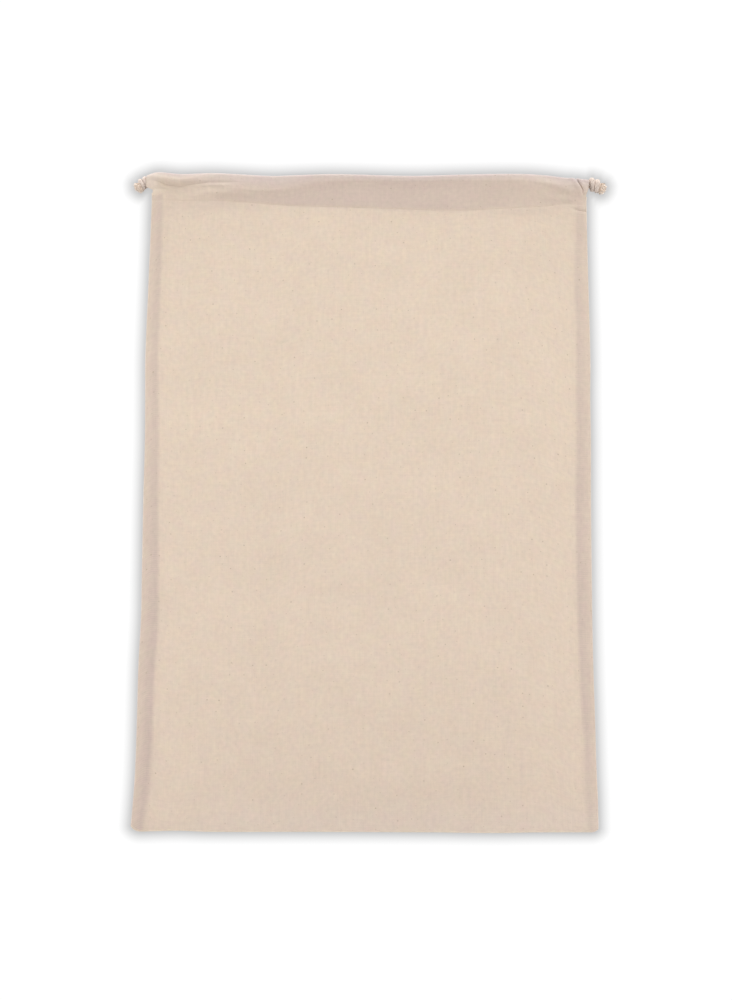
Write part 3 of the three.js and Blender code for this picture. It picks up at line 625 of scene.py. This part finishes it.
class Net:  # a node tree that links what is added
    def __init__(self, tree):
        self.tree = tree

    def feed(self, socket, value):  # a socket, a node's first output or a constant
        if isinstance(value, bpy.types.Node):
            value = next(s for s in value.outputs if s.enabled)
        if isinstance(value, bpy.types.NodeSocket):
            self.tree.links.new(value, socket)
        else:
            socket.default_value = (*value, 1.0) if socket.type == "RGBA" else value

    def add(self, kind, settings=None, **feeds):  # feeds name the node's inputs
        made = self.tree.nodes.new(kind)
        for label, value in (settings or {}).items():
            setattr(made, label, value)
        for label, value in feeds.items():
            self.feed(next(s for s in made.inputs if s.name.replace(" ", "") == label and s.enabled), value)
        return made

    def calc(self, operation, *values, kind="ShaderNodeMath"):
        made = self.add(kind, {"operation": operation})
        for socket, value in zip(made.inputs, values):
            self.feed(socket, value)
        return made

    def plus(self, first, second):
        return self.calc("ADD", first, second)

    def times(self, first, second):
        return self.calc("MULTIPLY", first, second)

    def vector(self, operation, first, second):
        return self.calc(operation, first, second, kind="ShaderNodeVectorMath")

    def scaled(self, vector, amount):
        made = self.add("ShaderNodeVectorMath", {"operation": "SCALE"}, Scale=amount)
        self.feed(made.inputs[0], vector)
        return made

    def read(self, label):  # a value kept on the points
        return self.add("ShaderNodeAttribute", {"attribute_name": label}).outputs["Fac"]

    def noise(self, vector, scale, detail, roughness, dimensions="2D"):
        return self.add("ShaderNodeTexNoise", {"noise_dimensions": dimensions}, Vector=vector, Scale=scale,
                        Detail=detail, Roughness=roughness)

    def centred(self, value, amount):  # change about nought
        return self.times(self.calc("SUBTRACT", value, 0.5), amount)

    def ranged(self, value, limits):
        return self.add("ShaderNodeMapRange", Value=value, FromMin=limits[0], FromMax=limits[1])

    def blend(self, share, first, second):
        settings = {"data_type": "RGBA", "clamp_factor": False}
        return self.add("ShaderNodeMix", settings, Factor=share, A=first, B=second)

    def evenLine(self, mesh, step):
        line = self.add("GeometryNodeMeshToCurve", Mesh=mesh)
        return self.add("GeometryNodeResampleCurve", {"mode": "LENGTH"}, Curve=line, Length=step)

    def sweep(self, curve, sides, radius, **more):  # closed tube along a curve
        profile = self.add("GeometryNodeCurvePrimitiveCircle", Resolution=sides, Radius=radius)
        return self.add("GeometryNodeCurveToMesh", Curve=curve, ProfileCurve=profile, FillCaps=True, **more)

    def bentThread(self, bends, points, sides, radius):  # through four bends
        named = dict(zip(("Start", "StartHandle", "EndHandle", "End"), bends))
        line = self.add("GeometryNodeCurvePrimitiveBezierSegment", Resolution=points, **named)
        return self.sweep(line, sides, radius)

    def end(self, geometry, material):  # real geometry with its own material
        real = self.add("GeometryNodeRealizeInstances", Geometry=geometry)
        smoothed = self.add("GeometryNodeSetShadeSmooth", Geometry=real)
        finished = self.add("GeometryNodeSetMaterial", Geometry=smoothed, Material=material)
        self.feed(self.tree.nodes.new("NodeGroupOutput").inputs[0], finished)
        return self.tree


def newTree(name, **inputs):
    tree = bpy.data.node_groups.new(name, "GeometryNodeTree")
    for label, kind in {"Geometry": "Geometry", **inputs}.items():
        tree.interface.new_socket(label, in_out="INPUT", socket_type="NodeSocket" + kind)
    tree.interface.new_socket("Geometry", in_out="OUTPUT", socket_type="NodeSocketGeometry")
    given = tree.nodes.new("NodeGroupInput").outputs
    return Net(tree), Values({socket.name: socket for socket in given})


def growPiece(name, guide, tree, values):  # runs a tree on a guide mesh
    piece = addToScene(name, guide)
    modifier = piece.modifiers.new("grow", "NODES")
    modifier.node_group = tree
    for item in tree.interface.items_tree:
        if item.in_out == "INPUT" and item.name in values:
            modifier[item.identifier] = values[item.name]
    keepPlain(piece)
    return piece


def guideLine(name, line, **values):  # points in metres
    return newMesh(name, line, edges=[(n, n + 1) for n in range(len(line) - 1)], **values)


def inMetres(shape, *labels):
    return {label: shape[label] * mm for label in labels}


def cordTree():
    net, given = newTree("twistedCord", strands="Int", strandRadius="Float", layRadius="Float",
                         twistLength="Float", step="Float", strandSides="Int", material="Material")
    even = net.evenLine(given.Geometry, given.step)
    copies = net.add("GeometryNodeDuplicateElements", {"domain": "SPLINE"}, Geometry=even,
                     Amount=given.strands)
    girth = net.add("GeometryNodeInputNamedAttribute", {"data_type": "FLOAT"}, Name="girth")
    turns = net.calc("DIVIDE", net.add("GeometryNodeSplineParameter").outputs["Length"], given.twistLength)
    share = net.calc("DIVIDE", copies.outputs[1], given.strands)
    angle = net.times(net.plus(turns, share), 2 * pi)
    normal = net.add("GeometryNodeInputNormal")
    other = net.vector("CROSS_PRODUCT", net.add("GeometryNodeInputTangent"), normal)
    sideways = net.scaled(normal, net.calc("COSINE", angle))
    upward = net.scaled(other, net.calc("SINE", angle))
    offset = net.scaled(net.vector("ADD", sideways, upward), net.times(given.layRadius, girth))
    laid = net.add("GeometryNodeSetPosition", Geometry=copies, Offset=offset)
    strands = net.sweep(laid, given.strandSides, given.strandRadius, Scale=girth)
    return net.end(strands, given.material)


# Frayed ends: a soft brush of loose yarn at the end of each knot
fray = Values({
    "radius": 3.2,
    "coreLength": {"left": 3.2, "right": 4.2},
    "brown": {"left": 0.3, "right": 0.62},  # share of that length with painted shade, browner
    "section": [(0, 0.8), (0.3, 1), (0.62, 0.98), (0.86, 0.74), (0.97, 0.4)],  # shares of length and radius
    "sides": 18,
    "fibres": 300, "length": 2.0, "curl": 0.6,
    "bends": [(0.0, 0.4), (0.2, 0.8), (1.0, 1.0)],  # shares of the curl and the length, to the tip
    "fibreRadius": 0.2, "fibrePoints": 5, "fibreSides": 3,
    "lean": 0.5,  # away from the knot's direction
    "spin": (0.3, 0.3, 3.14),
    "uneven": 0.5, "seed": 7,
})


def frayTree():
    net, given = newTree("frayedEnd", density="Float", length="Float", curl="Float", fibreRadius="Float",
                         uneven="Float", axis="Vector", seed="Int", material="Material")
    seed = given.seed
    roots = net.add("GeometryNodeDistributePointsOnFaces", Mesh=given.Geometry, Density=given.density,
                    Seed=seed)
    bends = [(0, 0, 0)]
    for aside, up in fray.bends:
        across = net.times(given.curl, aside)
        bends.append(net.add("ShaderNodeCombineXYZ", X=across, Z=net.times(given.length, up)))
    strand = net.bentThread(bends, fray.fibrePoints, fray.fibreSides, given.fibreRadius)
    lean = net.vector("ADD", net.scaled(roots.outputs["Normal"], fray.lean), given.axis)
    along = net.add("FunctionNodeAlignRotationToVector", {"axis": "Z"}, Vector=lean)
    spin = net.add("FunctionNodeRandomValue", {"data_type": "FLOAT_VECTOR"}, Seed=seed,
                   Min=[-most for most in fray.spin], Max=fray.spin)
    local = {"rotation_space": "LOCAL"}
    turned = net.add("FunctionNodeRotateRotation", local, Rotation=along, RotateBy=spin)
    least = net.calc("SUBTRACT", 1.0, given.uneven)
    scale = net.add("FunctionNodeRandomValue", {"data_type": "FLOAT"}, Min=least, Max=1.0, Seed=seed)
    fibres = net.add("GeometryNodeInstanceOnPoints", Points=roots, Instance=strand, Rotation=turned,
                     Scale=scale)
    whole = net.add("GeometryNodeJoinGeometry")
    for part in (fibres, given.Geometry):
        net.feed(whole.inputs[0], part)
    return net.end(whole, given.material)


def frayCore(centre, out, length, brown):  # closed heart of the brush, facing along the knot
    sides = fray.sides
    flat = out.orthogonal().normalized()
    other = out.cross(flat)
    angles = [2 * pi * n / sides for n in range(sides)]
    ring = [flat * cos(angle) + other * sin(angle) for angle in angles]
    points, baseShade = [], []
    for share, wide in fray.section:
        points += [centre + away * fray.radius * wide + out * length * share for away in ring]
        # painted shade, browner near the knot
        baseShade += [1 - smooth(share / brown)] * sides
    tip = len(points)
    points.append(centre + out * length)
    baseShade.append(0.0)
    faces = [tuple(reversed(range(sides)))]
    for a in range(tip):
        b = a + 1 if (a + 1) % sides else a + 1 - sides
        faces.append((a, b, b + sides, a + sides) if a < tip - sides else (a, b, tip))
    guide = newMesh("frayCore", [(point + shift) * mm for point in points], faces=faces, core=baseShade)
    return guide, sum(face.area for face in guide.polygons)


# Stitches: along both hems, and the seams' thread in the groove of each side
stitch = Values({
    "hemPitch": 2.9, "hemLength": 2.3, "hemPoints": 110,
    "hemShort": 1.0,  # ends this far inside the allowances
    "backHeight": 0.32,
    "seamPitch": 3.0, "seamLength": 1.1, "seamPoints": 90,
    "seamEnds": (0.012, 0.985),  # shares of the way up
    "seamIn": 0.25,
    "threadRadius": 0.17, "sink": 0.14,
    "shoulder": 0.33,  # share of the length where the thread bends down
    "points": 5, "sides": 5,
})


def stitchTree():
    net, given = newTree("stitchRow", pitch="Float", length="Float", threadRadius="Float", sink="Float",
                         facing="Vector", material="Material")
    even = net.evenLine(given.Geometry, given.pitch)
    high = given.sink
    low = net.times(high, -1.0)
    shoulder = stitch.shoulder
    bends = []
    for share, height in ((-0.5, low), (-shoulder, high), (shoulder, high), (0.5, low)):
        bends.append(net.add("ShaderNodeCombineXYZ", X=net.times(given.length, share), Z=height))
    arch = net.bentThread(bends, stitch.points, stitch.sides, given.threadRadius)
    tangent = net.add("GeometryNodeInputTangent")
    along = net.add("FunctionNodeAlignRotationToVector", {"axis": "X"}, Vector=tangent)
    facing = net.add("FunctionNodeAlignRotationToVector", {"axis": "Z", "pivot_axis": "X"}, Rotation=along,
                     Vector=given.facing)
    row = net.add("GeometryNodeInstanceOnPoints", Points=even, Instance=arch, Rotation=facing)
    return net.end(row, given.material)


def hemLines():  # of the front and of the back
    edge = halfWidth - bag.allowance - stitch.hemShort
    drop = bag.backDrop
    front, back = [], []
    for x in spread(stitch.hemPoints, -edge, edge):
        below = casingDepth(x) - bag.stitchUp
        y = topEdge(x) - below
        z = frontCasingHeight(x, below) + casingCover(x, below) - bag.stitchSink
        front.append(place(x, y, z + bag.cloth / 2))
        back.append(place(x, y - drop, stitch.backHeight + backRise(x, below + drop)))
    return front, back


def seamLine(side):  # in the groove up one side
    x = side * (halfWidth - stitch.seamIn)
    top = topEdge(x)
    line = []
    for share in spread(stitch.seamPoints, *stitch.seamEnds):
        y = mix(foldLine(x), top - casingDepth(x), share)
        line.append(place(x, y, (panelHeight(x, share) + floorLayer + backRise(x, top - y)) / 2))
    return line


# Finishes
fabric = {"Specular IOR Level": 0.15, "Sheen Roughness": 0.6}  # common to all
calicoLook = Values({
    "panel": (0.713, 0.583, 0.466),
    "warmer": (0.721, 0.581, 0.452),  # uneven colour of unbleached yarn
    "warmRange": (0.35, 0.65),
    "layered": (0.583, 0.462, 0.389),  # where more layers lie behind, and painted shade
    "faded": (1.0, 1.03, 1.11),  # painted light: paler and bluer where the roll faces the light, and on the bottom fold
    "yarnPitch": 0.46,
    "weaveDepth": 0.10, "bump": 0.45,
    "yarnHeight": 0.8,  # in the bump
    "weftStreak": 0.08, "warpStreak": 0.08, "mottle": 0.12, "patch": 0.08,
    "blush": 0.11,  # pinker and greener yarns
    "seamLines": 0.05,  # stitches that show through the bands
    "seamPitch": 1.45,
    "weftScale": (55.0, 1500.0),  # across, along
    "warpScale": (1500.0, 42.0),
    "yarnNoise": (1.0, 2.0, 0.6),  # scale, detail, roughness
    "noises": {
        "mottle": (350.0, 1.0, 0.5),
        "patch": (38.0, 3.0, 0.6),
        "warmth": (105.0, 4.0, 0.62),
        "blush": (120.0, 4.0, 0.65),
        "seamFade": (90.0, 1.0, 0.5),
    },
    "seed": (0.33, 0.22, 0.13),
    "seedScale": 125.0, "seedSize": 0.035, "seedEdge": 60.0,
    "seedDepth": (3.0, 0.45, 0.1),  # power of chance, how much it adds, least
    "surface": {"Roughness": 0.92, "Sheen Weight": 0.55},
})
yarnLook = {
    "streak": (3.0, 0.65),  # detail, roughness
    "patch": (2.0, 0.5), "patchWider": 9, "blend": 0.6, "shadeRange": (0.42, 0.85),
    "bump": 0.4, "bumpDepth": 0.12,
}
cordLook = Values({
    **yarnLook,
    "colour": (0.76, 0.65, 0.58), "shadeColour": (0.66, 0.545, 0.47), "grain": 2600.0,
    "surface": {"Roughness": 0.9, "Sheen Weight": 0.15},
})
frayLook = Values({
    **yarnLook,
    "colour": (1.0, 0.90, 0.80), "shadeColour": (1.0, 0.85, 0.73), "grain": 1500.0,
    "core": (0.74, 0.57, 0.43),  # painted shade, browner where the brush leaves the knot
    "surface": {"Roughness": 0.9, "Sheen Weight": 0.3},
})
threadLook = Values({
    **yarnLook,
    "colour": (0.71, 0.58, 0.47), "shadeColour": (0.63, 0.51, 0.41), "grain": 3000.0,
    "surface": {"Roughness": 0.85, "Sheen Weight": 0.2},
})


def newFinish(name, surface):
    finish = bpy.data.materials.new(name)
    finish.use_nodes = True
    sockets = finish.node_tree.nodes["Principled BSDF"].inputs
    for label, value in surface.items():
        sockets[label].default_value = value
    return finish, Net(finish.node_tree), sockets


def makeCalico(look):
    finish, net, sockets = newFinish("calico", {**fabric, **look.surface})
    add, calc, plus, times = net.add, net.calc, net.plus, net.times
    cut = add("ShaderNodeUVMap", {"uv_map": "cut"})
    across, along = add("ShaderNodeSeparateXYZ", Vector=cut).outputs[:2]

    # plain weave: warp and weft pass over each other in turn
    counts = [calc("DIVIDE", way, look.yarnPitch * mm) for way in (across, along)]
    warp, weft = (calc("ABSOLUTE", calc("SINE", times(count, pi))) for count in counts)
    turn = calc("MODULO", plus(*(calc("FLOOR", count) for count in counts)), 2.0)
    warpOver = times(warp, calc("MULTIPLY_ADD", weft, 0.5, 0.5))
    weftOver = times(weft, calc("MULTIPLY_ADD", warp, 0.5, 0.5))
    weave = plus(warpOver, times(calc("SUBTRACT", weftOver, warpOver), turn))

    # thick and thin yarns, mottling, and the seams' thread showing through
    yarns = []
    for scaleX, scaleY in (look.weftScale, look.warpScale):
        spot = add("ShaderNodeCombineXYZ", X=times(across, scaleX), Y=times(along, scaleY))
        yarns.append(net.noise(spot, *look.yarnNoise))
    cloud = {label: net.noise(cut, *values) for label, values in look.noises.items()}
    change = plus(net.centred(yarns[0], look.weftStreak), net.centred(yarns[1], look.warpStreak))
    for label in ("mottle", "patch"):
        change = plus(change, net.centred(cloud[label], look[label]))
    seamWave = calc("SINE", times(along, 2 * pi / (look.seamPitch * mm)))
    seamThread = times(net.read("seamBand"), look.seamLines)
    change = plus(plus(change, times(times(seamWave, cloud["seamFade"]), seamThread)), 1.0)

    # flecks of cotton seed left in the yarn
    cells = add("ShaderNodeTexVoronoi", {"voronoi_dimensions": "2D"}, Vector=cut, Scale=look.seedScale)
    chance = add("ShaderNodeSeparateColor", Color=cells.outputs["Color"]).outputs
    size = calc("MULTIPLY_ADD", chance[0], look.seedSize, look.seedSize)
    fleck = times(calc("SUBTRACT", size, cells.outputs["Distance"]), look.seedEdge)
    power, more, least = look.seedDepth
    depth = calc("MULTIPLY_ADD", calc("POWER", chance[1], power), more, least)
    fleck = times(add("ShaderNodeClamp", Value=fleck), depth)

    colour = net.blend(net.ranged(cloud["warmth"], look.warmRange), look.panel, look.warmer)
    # the layers behind and painted shade darken the colour; painted light makes it paler and bluer
    colour = net.blend(net.read("layers"), colour, look.layered)
    colour = net.blend(net.read("faded"), colour, net.vector("MULTIPLY", colour, look.faded))
    green = plus(net.centred(cloud["blush"], look.blush), 1.0)
    colour = net.vector("MULTIPLY", colour, add("ShaderNodeCombineXYZ", X=1.0, Y=green, Z=1.0))
    net.feed(sockets["Base Color"], net.blend(fleck, net.scaled(colour, change), look.seed))
    height = plus(weave, plus(*(net.centred(yarn, look.yarnHeight) for yarn in yarns)))
    bump = add("ShaderNodeBump", Strength=look.bump, Distance=look.weaveDepth * mm, Height=height)
    net.feed(sockets["Normal"], bump)
    return finish


def makeYarn(name, look):  # twisted or loose cotton yarn
    finish, net, sockets = newFinish(name, {**fabric, **look.surface})
    here = net.add("ShaderNodeTexCoord").outputs["Object"]
    streak = net.noise(here, look.grain, *look.streak, "3D")
    patch = net.noise(here, look.grain / look.patchWider, *look.patch, "3D")
    blend = net.plus(net.times(streak, look.blend), net.times(patch, look.blend))
    colour = net.blend(net.ranged(blend, look.shadeRange), look.colour, look.shadeColour)
    # painted shade where the brush leaves the knot
    if "core" in look:
        colour = net.blend(net.read("core"), colour, look.core)
    net.feed(sockets["Base Color"], colour)
    bump = net.add("ShaderNodeBump", Strength=look.bump, Distance=look.bumpDepth * mm, Height=streak)
    net.feed(sockets["Normal"], bump)
    return finish


calico = makeCalico(calicoLook)
cordCotton = makeYarn("cordCotton", cordLook)
frayCotton = makeYarn("frayCotton", frayLook)
thread = makeYarn("hemThread", threadLook)
print("finishes made")

bagCloth = makeCloth(calico)
print("bag cloth:", len(bagCloth.data.polygons), "faces")

twisted = cordTree()
frayed = frayTree()
cords = {}
for which in ("left", "right"):
    route, girths, (tip, tipWay) = cordRoute(which)
    label = which.capitalize()
    guide = guideLine("cordLine" + label, [(point + shift) * mm for point in route], girth=girths)
    cords[which] = growPiece("drawcord" + label, guide, twisted, {
        **cord,
        **inMetres(cord, "strandRadius", "twistLength", "step"),
        "layRadius": (cord.radius - cord.strandRadius) * mm,
        "material": cordCotton,
    })
    core, coreArea = frayCore(tip, tipWay, fray.coreLength[which], fray.brown[which])
    cords[which + "Fray"] = growPiece("cordFray" + label, core, frayed, {
        **fray,
        **inMetres(fray, "length", "curl", "fibreRadius"),
        "density": fray.fibres / coreArea,
        "axis": tipWay,
        "material": frayCotton,
    })
    length = sum((b - a).length for a, b in zip(route, route[1:]))
    print("drawcord", which, round(length), "mm,", len(cords[which].data.polygons), "faces, fray",
          len(cords[which + "Fray"].data.polygons), "faces")

stitching = stitchTree()
stitches = {}
frontHem, backHem = hemLines()
for name, line, sort, facing in (
    ("hemStitchesFront", frontHem, "hem", (0, 0, 1)),
    ("hemStitchesBack", backHem, "hem", (0, 0, -1)),
    ("seamStitchesLeft", seamLine(-1), "seam", (-1, 0, 0)),
    ("seamStitchesRight", seamLine(1), "seam", (1, 0, 0)),
):
    stitches[name] = growPiece(name, guideLine(name + "Line", line), stitching, {
        **inMetres(stitch, "threadRadius", "sink"),
        "pitch": stitch[sort + "Pitch"] * mm,
        "length": stitch[sort + "Length"] * mm,
        "facing": facing,
        "material": thread,
    })
    print(name, len(stitches[name].data.polygons), "faces")

# Each piece rides on the one body and stands for its solid
for piece, slot, nodes in (
    (bagCloth, "calico", ["bag_cloth"]),
    (cords["left"], "cord_cotton", ["drawcord_left"]),
    (cords["leftFray"], "cord_cotton", ["drawcord_left"]),
    (cords["right"], "cord_cotton", ["drawcord_right"]),
    (cords["rightFray"], "cord_cotton", ["drawcord_right"]),
    *((piece, "calico", ["bag_cloth"]) for piece in stitches.values()),
):
    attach(piece, "root")
    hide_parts(*nodes)
print("pieces ride on root")

# Studio: white sweep with painted shade round the bag, one broad soft light beyond the mouth end, and pale
# low surroundings, in metres
studio = Values({
    "surface": {"Roughness": 1.0, "Specular IOR Level": 0.0, "Emission Color": (1, 1, 1, 1)},  # of the paper
    "paperColour": (0.16, 0.16, 0.161),
    "paperGlow": 0.86,  # the paper glows as if lit from behind, so that shadows on it stay pale
    "paperDrop": 0.0002,
    "paperFine": ((161, 0.2, 0.4), (209, 0.26, 0.5)),  # lines, reach, next line, across and along
    "paperOuter": (1.0, 4.0),
    "ringLamp": (0.0, -0.42, 1.48),  # where the painted shade round the bag is measured from; no lamp stands there
    "shadeHeights": 10,  # above the paper, up to the next
    "shadeTop": 0.018,
    "shade": 0.43,  # how far painted shade darkens the paper beside the bag
    "shadeReach": 0.0097, "shadeFall": 1.5,
    "overhead": 0.3,
    "surround": 1.9,  # at the horizon, falling off upwards
    "keyStrength": 2.25, "keySpread": 100.0, "keyRise": 40.0,
    "tilt": 15.6, "roll": 0.39, "distance": 1.53, "target": (-0.0011, -0.0063, 0.006),
    "lens": 82.92, "sensor": 36.0, "farthest": 50.0,
})


def contactTree(pieces):  # painted shade on the paper: how far the bag is from the way up towards the point it is measured from
    net, given = newTree("contactShade", lamp="Vector", material="Material")
    whole = net.add("GeometryNodeJoinGeometry")
    for piece in pieces:
        shape = net.add("GeometryNodeObjectInfo", {"transform_space": "RELATIVE"}, Object=piece)
        net.feed(whole.inputs[0], shape.outputs["Geometry"])
    here = net.add("GeometryNodeInputPosition")
    toShadeFrom = net.vector("SUBTRACT", given.lamp, here)
    away = 1.0
    for height in spread(studio.shadeHeights, 0, studio.shadeTop):
        spot = net.vector("ADD", here, net.scaled(toShadeFrom, height / studio.ringLamp[2]))
        near = net.add("GeometryNodeProximity", {"target_element": "FACES"}, Geometry=whole,
                       SamplePosition=spot)
        away = net.calc("MINIMUM", near.outputs["Distance"], away)
    kept = net.add("GeometryNodeStoreNamedAttribute", {"data_type": "FLOAT", "domain": "POINT"},
                   Geometry=given.Geometry, Name="away", Value=away)
    return net.end(kept, given.material)


def makePaper():
    paper, net, sockets = newFinish("whitePaper", studio.surface)
    # painted shade round the bag, in the paper's colour and glow
    near = net.calc("MULTIPLY_ADD", net.read("away"), -1 / studio.shadeReach, 1.0)
    near = net.calc("POWER", net.calc("MAXIMUM", near, 0.0), studio.shadeFall)
    level = net.calc("SUBTRACT", 1.0, net.times(near, studio.shade))
    net.feed(sockets["Base Color"], net.scaled(studio.paperColour, level))
    net.feed(sockets["Emission Strength"], net.times(level, studio.paperGlow))
    return paper


def paperLines(count, reach, beyond):  # close together round the bag
    outer = [beyond, *studio.paperOuter]
    return [-line for line in reversed(outer)] + spread(count, -reach, reach) + outer


def makeFloor():  # wide paper, finely divided round the bag
    acrossLines, alongLines = (paperLines(*values) for values in studio.paperFine)
    count = len(acrossLines)
    points = [(x, y, -studio.paperDrop) for y in alongLines for x in acrossLines]
    starts = [k * count + n for k in range(len(alongLines) - 1) for n in range(count - 1)]
    sheet = newMesh("floor", points, faces=[(a, a + 1, a + count + 1, a + count) for a in starts])
    shading = contactTree([bagCloth, *cords.values()])
    floor = growPiece("floor", sheet, shading, {"lamp": studio.ringLamp, "material": makePaper()})


def makeStudio():
    scene = bpy.context.scene
    scene.world = bpy.data.worlds.new("surroundings")
    scene.world.use_nodes = True
    sky = Net(scene.world.node_tree)
    sockets = sky.tree.nodes["Background"].inputs
    way = sky.add("ShaderNodeSeparateXYZ", Vector=sky.add("ShaderNodeTexCoord").outputs["Generated"])
    low = sky.calc("SUBTRACT", 1.0, sky.add("ShaderNodeClamp", Value=way.outputs[2]))
    glow = sky.calc("MULTIPLY_ADD", sky.times(low, low), studio.surround, studio.overhead)
    sockets["Color"].default_value = (1, 1, 1, 1)
    sky.feed(sockets["Strength"], glow)
    key = bpy.data.lights.new("keyLight", "SUN")
    key.energy = studio.keyStrength
    key.angle = radians(studio.keySpread)
    addToScene("keyLight", key).rotation_euler.x = radians(studio.keyRise - 90)
    view = bpy.data.cameras.new("photoCamera")
    view.lens = studio.lens
    view.sensor_width = studio.sensor
    view.clip_end = studio.farthest
    tilt = Matrix.Rotation(radians(studio.tilt), 4, "X")
    roll = Matrix.Rotation(radians(studio.roll), 4, "Z")
    scene.camera = addToScene("photoCamera", view)
    target = Matrix.Translation(studio.target)
    scene.camera.matrix_world = target @ tilt @ Matrix.Translation((0, 0, studio.distance)) @ roll
    scene.view_settings.view_transform = "Standard"


makeFloor()
makeStudio()
print("studio made")
